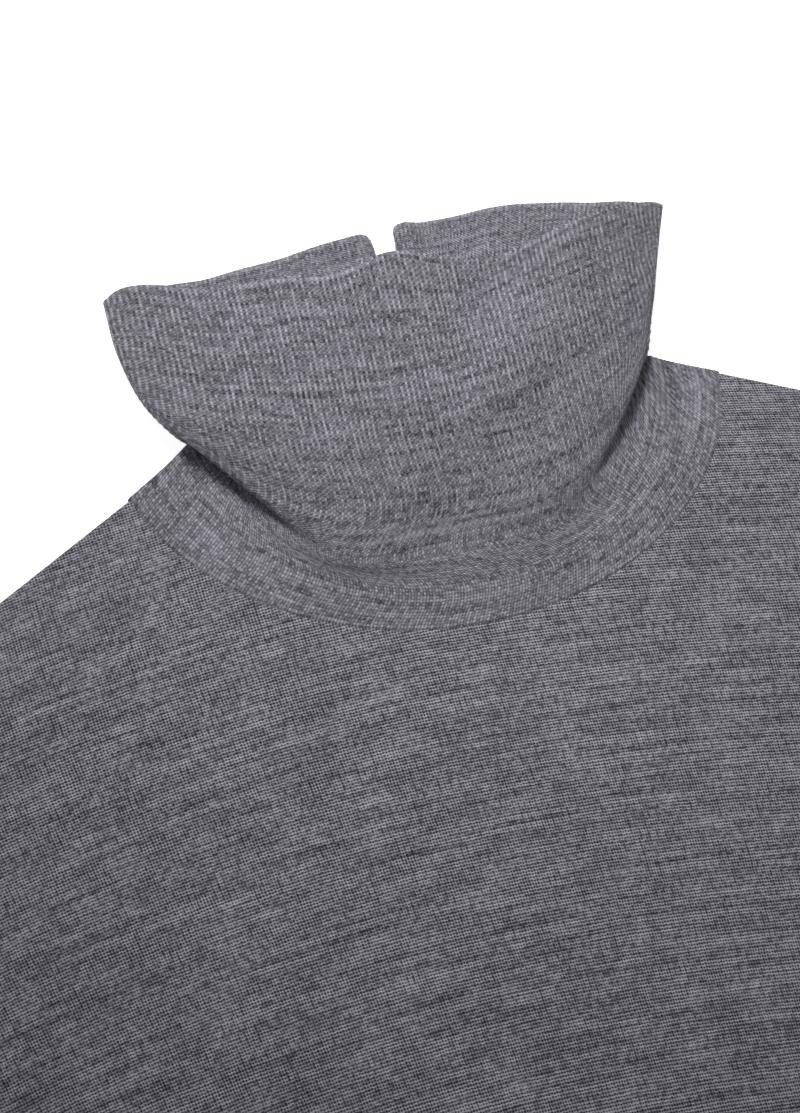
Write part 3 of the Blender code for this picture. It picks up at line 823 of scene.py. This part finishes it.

# Jersey: how dark the painted shade of the net's lines and holes between the loops is, and how that varies
# over the cloth
COURSE_LINE_RISE = 0.3
WALE_GAP_SHARPNESS = 4.0
WALE_GAP_START, WALE_GAP_RANGE = 0.46, 1.1
LEG_GAP_SIZE = (7.0, 9.0)
LEG_GAP_RANGE, LEG_GAP_LEAST = 0.8, -0.16
COURSE_GAP_RANGE, COURSE_GAP_LEAST = 0.8, 0.12
HOLE_PAINTED_SHADE = 0.42
HEM_GROOVE_PAINTED_SHADE = 0.28
LEAST_LIGHTNESS = 0.03

# Rib: its zones, as shares of the collar's height or as ribs from the front middle, and what each
# zone adds to the parts of the stitch pattern: painted highlight on the raised ridges and on one leg of
# each slanting loop, and painted shade in the grooves and gaps
UPPER_ZONE = (0.20, 0.75)
BAND_ZONE = (0.38, 0.12)
BACK_ZONE = (62.0, 80.0)
ZoneWeights = namedtuple("ZoneWeights", "everywhere upper back band")
RIB_RIDGE_HIGHLIGHT = ZoneWeights(0.36, 0.45, -0.36, -0.18)
RIGHT_LOOP_HIGHLIGHT = ZoneWeights(0.36, -0.10, 0.16, -0.22)
LEG_RISE = ZoneWeights(0.24, -0.18, 0.0, 0.24)
GROUND = ZoneWeights(0.15, 0.0, 0.05, 0.0)
LEFT_LOOP_HIGHLIGHT = 0.16
BAND_ROW_RISE = 0.30
RIDGE_SHARPNESS = 1.3
CLEARNESS_RANGE, CLEARNESS_LEAST = 0.7, 0.18
# The rim's painted highlight and its height, the painted highlight on the ridge and the dark row above the
# seam, all in mm, and the painted shade over the base as shares of the collar's height, each with how light
# or dark it is
RIM_HIGHLIGHT_HEIGHT, RIM_HIGHLIGHT = 2.0, 0.12
LINK_RIDGE, LINK_RIDGE_REACH, LINK_RIDGE_HIGHLIGHT = 3.4, (1.3, 0.2), 0.03
LINK_ROW, LINK_ROW_DARKNESS = (0.2, 0.9), 0.20
BASE_SHADE_ZONE, BASE_PAINTED_SHADE = (0.10, 0.72), 0.25


def heather_tone(graph, wale_number, course_number, wale, course, heather):
    """How light the yarn is, mostly -0.6 to 0.6: streaks along the courses, flecks and single stitches."""
    course_whole = graph.math("ROUND", course_number)
    half_wale = graph.math("ROUND", graph.math("MULTIPLY", wale_number, 2.0))
    across = graph.math("MULTIPLY", wale_number, wale)
    along = graph.math("MULTIPLY", course_number, course)
    row_place = graph.vector(graph.math("DIVIDE", across, ROW_LENGTH),
                             graph.math("MULTIPLY", course_whole, ROW_JUMP), 4.0)
    layers = (
        (heather.streaks, graph.patches(across, along, STREAK_SIZE, detail=2.0)),
        (ROW_TONE, graph.noise(row_place)),
        (CLOUD_TONE, graph.patches(across, along, CLOUD_SIZE, seed=17.0, detail=2.0)),
        (heather.flecks, graph.patches(across, along, FLECK_SIZE, seed=31.0)),
        (STITCH_TONE, graph.random(graph.vector(half_wale, course_whole, 2.0))),
    )
    return graph.add_up(0.0, *((graph.math("SUBTRACT", layer, 0.5), weight) for weight, layer in layers))


def finish_knit(graph, lightness, tone, middle_tone):
    """Sets the shader from the stitch pattern (0 in the gaps, 1 on the yarn) and the yarn's tone. The
    pattern's painted shade and painted highlight go into the colour, and the pattern also sets the bump.
    """
    share = graph.math("MULTIPLY", lightness, graph.math("MULTIPLY_ADD", tone, middle_tone, middle_tone))
    shader = graph.shader
    graph.feed(shader.inputs["Base Color"], graph.mix_colour(share, DARK_YARN_AND_GAP_SHADE, YARN_LIGHT))
    shader.inputs["Roughness"].default_value = KNIT_ROUGHNESS
    shader.inputs["Specular IOR Level"].default_value = KNIT_SPECULAR
    shader.inputs["Sheen Weight"].default_value = SHEEN_WEIGHT
    shader.inputs["Sheen Roughness"].default_value = SHEEN_ROUGHNESS
    bump = graph.nodes.new("ShaderNodeBump")
    bump.inputs["Strength"].default_value = STITCH_BUMP
    bump.inputs["Distance"].default_value = STITCH_HEIGHT
    graph.links.new(lightness, bump.inputs["Height"])
    graph.links.new(bump.outputs["Normal"], shader.inputs["Normal"])
    return graph.material


def wander(graph, number, other, way):
    """The number, softly shifted along the cloth, so that no line of stitches is quite straight."""
    noise = graph.patches(number, other, (way.length, way.length), seed=5.0, detail=2.0)
    return graph.math("MULTIPLY_ADD", graph.math("SUBTRACT", noise, 0.5), way.reach, number)


def jersey_material(name):
    """Plain knit with ribbed hems: a fine net of painted shade between the courses and the loops' legs, and
    painted shade in the hem rib's grooves.
    """
    graph = NodeGraph(name)
    wale_number, course_number = graph.knit_place(WALE, COURSE)
    above_hem = graph.math("MULTIPLY_ADD", course_number, COURSE, -HEM_POINT[1])
    hem_groove_shade = graph.math("SUBTRACT", 1.0, graph.wave(graph.math("MULTIPLY", wale_number, 0.5)))
    at_hem = graph.share(above_hem, HEM_RIB_HEIGHT + 1.0, HEM_RIB_HEIGHT)
    hem_groove_shade = graph.math("MULTIPLY", hem_groove_shade, at_hem)

    wale_number = wander(graph, wale_number, course_number, WALE_WANDER)
    course_number = wander(graph, course_number, wale_number, COURSE_WANDER)
    course_line = graph.add_up(course_number, (graph.math("PINGPONG", wale_number, 0.5), COURSE_LINE_RISE))
    course_gap = graph.wave(course_line)
    wale_gap = graph.math("POWER", graph.wave(wale_number), WALE_GAP_SHARPNESS)
    leg_gap = graph.wave(graph.math("MULTIPLY", wale_number, 2.0))
    holes = graph.math("MULTIPLY", course_gap, leg_gap)

    open_wale = graph.line_noise(graph.math("ROUND", wale_number), course_number, WALE_GAP_NOISE)
    open_wale = graph.math("MULTIPLY", graph.math("SUBTRACT", open_wale, WALE_GAP_START), WALE_GAP_RANGE)
    open_wale = graph.math("MAXIMUM", open_wale, 0.0)
    open_legs = graph.patches(wale_number, course_number, LEG_GAP_SIZE, seed=12.0)
    open_legs = graph.math("MULTIPLY_ADD", open_legs, LEG_GAP_RANGE, LEG_GAP_LEAST)
    open_course = graph.line_noise(graph.math("ROUND", course_line), wale_number, COURSE_GAP_NOISE)
    open_course = graph.math("MULTIPLY_ADD", open_course, COURSE_GAP_RANGE, COURSE_GAP_LEAST)

    # Painted shade: the gaps between the loops and the hem rib's grooves are darkened in the colour; the same
    # pattern also sets the bump
    dark = graph.add_up(0.0, (course_gap, open_course), (leg_gap, open_legs), (wale_gap, open_wale),
                        (holes, HOLE_PAINTED_SHADE), (hem_groove_shade, HEM_GROOVE_PAINTED_SHADE))
    lightness = graph.math("MAXIMUM", graph.math("SUBTRACT", 1.0, dark), LEAST_LIGHTNESS)
    tone = heather_tone(graph, wale_number, course_number, WALE, COURSE, JERSEY_HEATHER)
    return finish_knit(graph, lightness, tone, JERSEY_HEATHER.middle_tone)


def rib_material(name):
    """Fine rib: raised wales of slanting loops, with painted highlight on the ridges and on one leg of each
    loop and painted shade in the grooves, clearer towards the rim, and a painted highlight along the rolled
    rim.
    """
    graph = NodeGraph(name)
    rib_number, course_number = graph.knit_place(RIB_WIDTH, RIB_COURSE)
    height = graph.math("DIVIDE", course_number, COLLAR_HEIGHT / RIB_COURSE)
    above_seam = graph.math("MULTIPLY", height, COLLAR_HEIGHT)
    rib_number = wander(graph, rib_number, course_number, RIB_WANDER)
    course_number = wander(graph, course_number, rib_number, RIB_COURSE_WANDER)
    from_front = graph.math("ABSOLUTE", graph.math("SUBTRACT", rib_number, RIBS / 2))
    upper = graph.share(height, *UPPER_ZONE)
    at_back = graph.share(from_front, *BACK_ZONE)
    band = graph.share(height, *BAND_ZONE)

    def in_zones(weights):
        return graph.add_up(weights.everywhere, (upper, weights.upper), (at_back, weights.back),
                            (band, weights.band))

    clear = graph.line_noise(graph.math("ROUND", rib_number), course_number, CLEARNESS_NOISE)
    clear = graph.math("MULTIPLY_ADD", clear, CLEARNESS_RANGE, CLEARNESS_LEAST)
    ridge = graph.math("POWER", graph.wave(rib_number), RIDGE_SHARPNESS)
    raised = graph.math("MULTIPLY", ridge, graph.math("MULTIPLY", clear, in_zones(RIB_RIDGE_HIGHLIGHT)))
    legs = graph.wave(graph.math("MULTIPLY", rib_number, 2.0))
    right_loops = graph.wave(graph.math("SUBTRACT", rib_number, course_number))
    left_loops = graph.wave(graph.math("ADD", rib_number, course_number))
    band_rows = graph.math("MULTIPLY", band, graph.wave(course_number))
    # Painted highlight along the rolled rim
    rim_highlight_share = RIM_HIGHLIGHT_HEIGHT / COLLAR_HEIGHT
    rim = graph.share(height, 1.0 - 1.5 * rim_highlight_share, 1.0 - 0.5 * rim_highlight_share)
    # Painted highlight on the ridge above the seam
    from_ridge = graph.math("ABSOLUTE", graph.math("SUBTRACT", above_seam, LINK_RIDGE))
    link_ridge_highlight = graph.share(from_ridge, *LINK_RIDGE_REACH)
    # Painted light: the ridges, loop legs and band rows are lighter and the grooves and gaps darker in the
    # colour, with the painted highlights along the rim and on the ridge above the seam
    lightness = graph.add_up(in_zones(GROUND), (right_loops, in_zones(RIGHT_LOOP_HIGHLIGHT)),
                             (left_loops, LEFT_LOOP_HIGHLIGHT), (legs, in_zones(LEG_RISE)),
                             (band_rows, BAND_ROW_RISE), (raised, 1.0), (rim, RIM_HIGHLIGHT),
                             (link_ridge_highlight, LINK_RIDGE_HIGHLIGHT))

    past_link = graph.share(above_seam, *LINK_ROW)
    # Painted shade: the collar's lower part is darkened in the colour, fading out towards its middle
    past_base_shade = graph.share(height, *BASE_SHADE_ZONE)
    link_light = graph.add_up(1.0 - LINK_ROW_DARKNESS, (past_link, LINK_ROW_DARKNESS))
    base_shade_factor = graph.add_up(1.0 - BASE_PAINTED_SHADE, (past_base_shade, BASE_PAINTED_SHADE))
    lightness = graph.math("MULTIPLY", lightness, graph.math("MULTIPLY", link_light, base_shade_factor))
    tone = heather_tone(graph, rib_number, course_number, RIB_WIDTH, RIB_COURSE, RIB_HEATHER)
    return finish_knit(graph, lightness, tone, RIB_HEATHER.middle_tone)


# ---- room, light and camera ---------------------------------------------------------------

VIEW_ELEVATION = math.radians(52.0)
VIEW_AZIMUTH = math.radians(-15.75)
VIEW_DISTANCE = 1.0
VIEW_TARGET = (-21.3, -42.1)
PICTURE_WIDTH, PICTURE_HEIGHT = 800, 1113
VIEW_ANGLE_ACROSS = math.radians(14.0)
FLOOR_HALF = 12.0
FLOOR_LEVEL = -0.0005
FLOOR_COLOUR = (0.62, 0.62, 0.62, 1.0)
FLOOR_ROUGHNESS = 0.9
FLOOR_SPECULAR = 0.1
FLOOR_GLOW = 0.84
WHITE = (1.0, 1.0, 1.0, 1.0)
ROOM_LIGHT = 0.32
LAMP_PLACE = (-40.0, 420.0, 800.0)
LAMP_TARGET = (15.0, 5.0)
LAMP_SIZE = 0.45
LAMP_SPREAD = math.radians(36.5)
LAMP_POWER = 0.55


def plan_point(x, y, z=0.0):
    return Vector((x * MM, (y + PLAN_SHIFT) * MM, z * MM))


def build_camera():
    back = Vector((math.sin(VIEW_AZIMUTH) * math.cos(VIEW_ELEVATION),
                   -math.cos(VIEW_AZIMUTH) * math.cos(VIEW_ELEVATION), math.sin(VIEW_ELEVATION)))
    right = Vector((math.cos(VIEW_AZIMUTH), math.sin(VIEW_AZIMUTH), 0.0))
    camera = bpy.data.objects.new("camera", bpy.data.cameras.new("camera"))
    camera.matrix_world = Matrix((right, back.cross(right), back)).transposed().to_4x4()
    camera.location = plan_point(*VIEW_TARGET) + back * VIEW_DISTANCE
    half_height = math.tan(VIEW_ANGLE_ACROSS / 2) * PICTURE_HEIGHT / PICTURE_WIDTH
    camera.data.lens = camera.data.sensor_width / 2 / half_height
    bpy.context.scene.collection.objects.link(camera)
    bpy.context.scene.camera = camera


def build_floor():
    mesh = bpy.data.meshes.new("floor")
    corners = [(x * FLOOR_HALF, y * FLOOR_HALF, FLOOR_LEVEL) for x, y in ((-1, -1), (1, -1), (1, 1), (-1, 1))]
    mesh.from_pydata(corners, [], [(0, 1, 2, 3)])
    graph = NodeGraph("pale_floor")
    graph.shader.inputs["Base Color"].default_value = FLOOR_COLOUR
    graph.shader.inputs["Roughness"].default_value = FLOOR_ROUGHNESS
    graph.shader.inputs["Specular IOR Level"].default_value = FLOOR_SPECULAR
    graph.shader.inputs["Emission Color"].default_value = WHITE
    graph.shader.inputs["Emission Strength"].default_value = FLOOR_GLOW
    mesh.materials.append(graph.material)
    floor = bpy.data.objects.new("floor", mesh)
    bpy.context.scene.collection.objects.link(floor)


def build_lights():
    """An even white room, and a soft lamp above and behind the collar that fades towards the hem."""
    world = bpy.data.worlds.new("studio")
    world.use_nodes = True
    background = world.node_tree.nodes["Background"]
    background.inputs["Color"].default_value = WHITE
    background.inputs["Strength"].default_value = ROOM_LIGHT
    bpy.context.scene.world = world
    light = bpy.data.lights.new("key_light", "AREA")
    light.shape = "DISK"
    light.size = LAMP_SIZE
    light.spread = LAMP_SPREAD
    light.energy = LAMP_POWER
    lamp = bpy.data.objects.new("key_light", light)
    lamp.location = plan_point(*LAMP_PLACE)
    lamp.rotation_euler = (plan_point(*LAMP_TARGET) - lamp.location).to_track_quat("-Z", "Y").to_euler()
    bpy.context.scene.collection.objects.link(lamp)


def main():
    scene = bpy.context.scene
    scene.view_settings.view_transform = "Standard"
    build_camera()
    build_floor()
    build_lights()

    jersey = jersey_material("heather_jersey")
    rib = rib_material("heather_rib")
    back = build_panel("back_knit", BACK_NECK_DEPTH, False, jersey)
    front = build_panel("front_knit", FRONT_NECK_DEPTH, True, jersey)
    sleeve_left = build_sleeve("sleeve_left_knit", 1, jersey)
    sleeve_right = build_sleeve("sleeve_right_knit", -1, jersey)
    collar = build_collar("collar_knit", rib)
    for piece, node, slot in ((back, "back", "knit_jersey"), (front, "front", "knit_jersey"),
                              (sleeve_left, "sleeve_left", "knit_jersey"),
                              (sleeve_right, "sleeve_right", "knit_jersey"), (collar, "collar", "knit_rib")):
        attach(piece, "root")
        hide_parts(node)


main()
